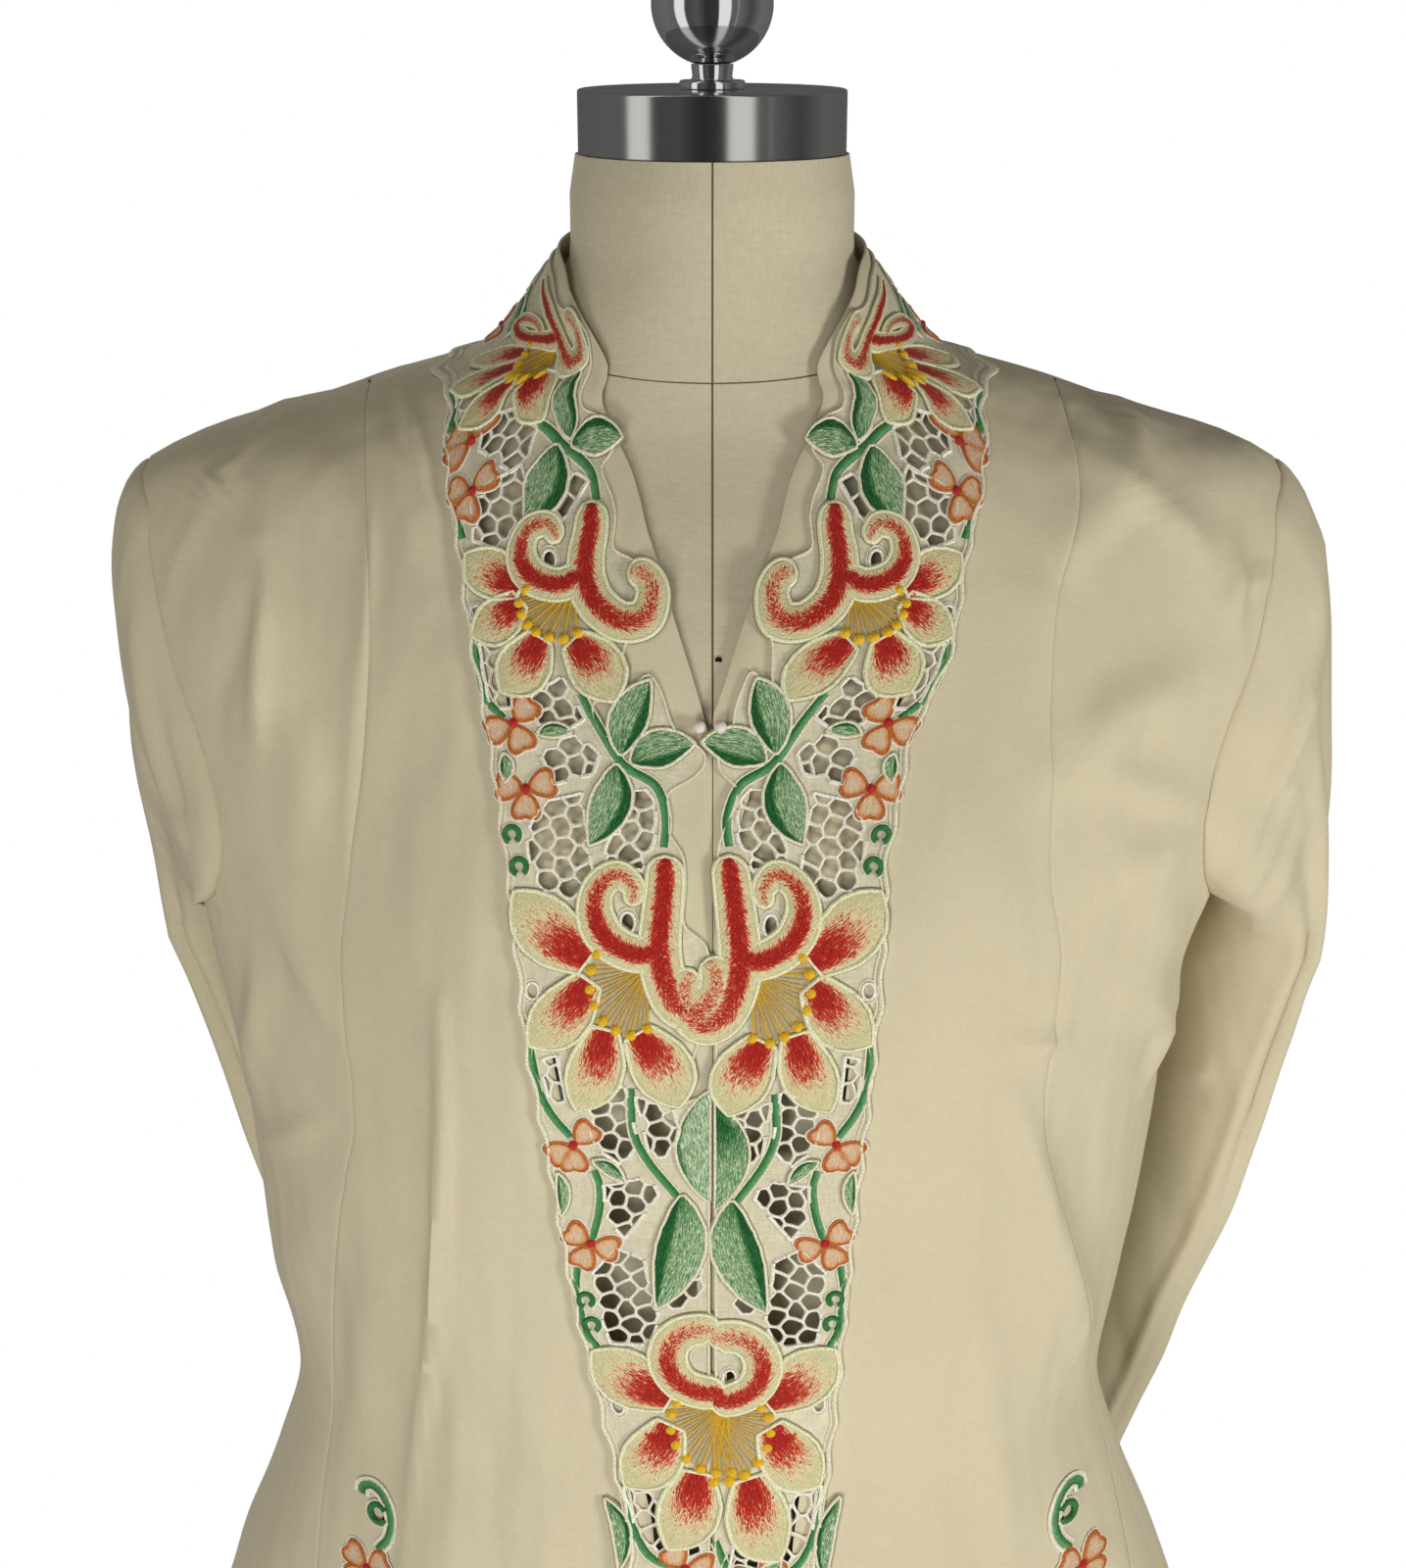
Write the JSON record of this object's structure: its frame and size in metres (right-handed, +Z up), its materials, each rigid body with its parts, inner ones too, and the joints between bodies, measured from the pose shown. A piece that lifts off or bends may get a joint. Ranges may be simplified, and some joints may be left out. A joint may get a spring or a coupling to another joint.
{
  "type": "kebaya blouse on a limbless dress form",
  "caption": "Long-sleeved cloth kebaya blouse with cutwork lace fronts and pearl pins, worn on a limbless dress form on a short round-based stand.",
  "frame": {"origin": "centre of the base plate's underside", "axes": "+Z up; the front faces -Y; the wearer's left is at +X"},
  "size_m": [0.4533, 0.33, 1.1325],
  "materials": {
    "cloth": "plain fine weave, matt",
    "lace": "raised satin stitch and corded cutwork",
    "canvas": "canvas cover, matt",
    "pearl": "pearl",
    "cap_steel": "brushed",
    "knob_chrome": "polished",
    "stand": "satin paint"
  },
  "bodies": {
    "root": {"centre_front_right": "cloth", "centre_front_left": "cloth", "side_front_right": "cloth", "side_front_left": "cloth", "back": "cloth", "sleeve_right": "cloth", "sleeve_left": "cloth", "band_right": "cloth", "band_left": "cloth", "lace_right": "lace", "lace_left": "lace", "hem_sprig_right": "lace", "hem_sprig_left": "lace", "pearl_pin_right": "pearl", "pearl_pin_left": "pearl", "form_body": "canvas", "neck_cap": "cap_steel", "knob_collar": "knob_chrome", "knob_post": "knob_chrome", "knob": "knob_chrome", "pole": "stand", "pole_flange": "stand", "base_plate": "stand"}
  },
  "joints": []
}
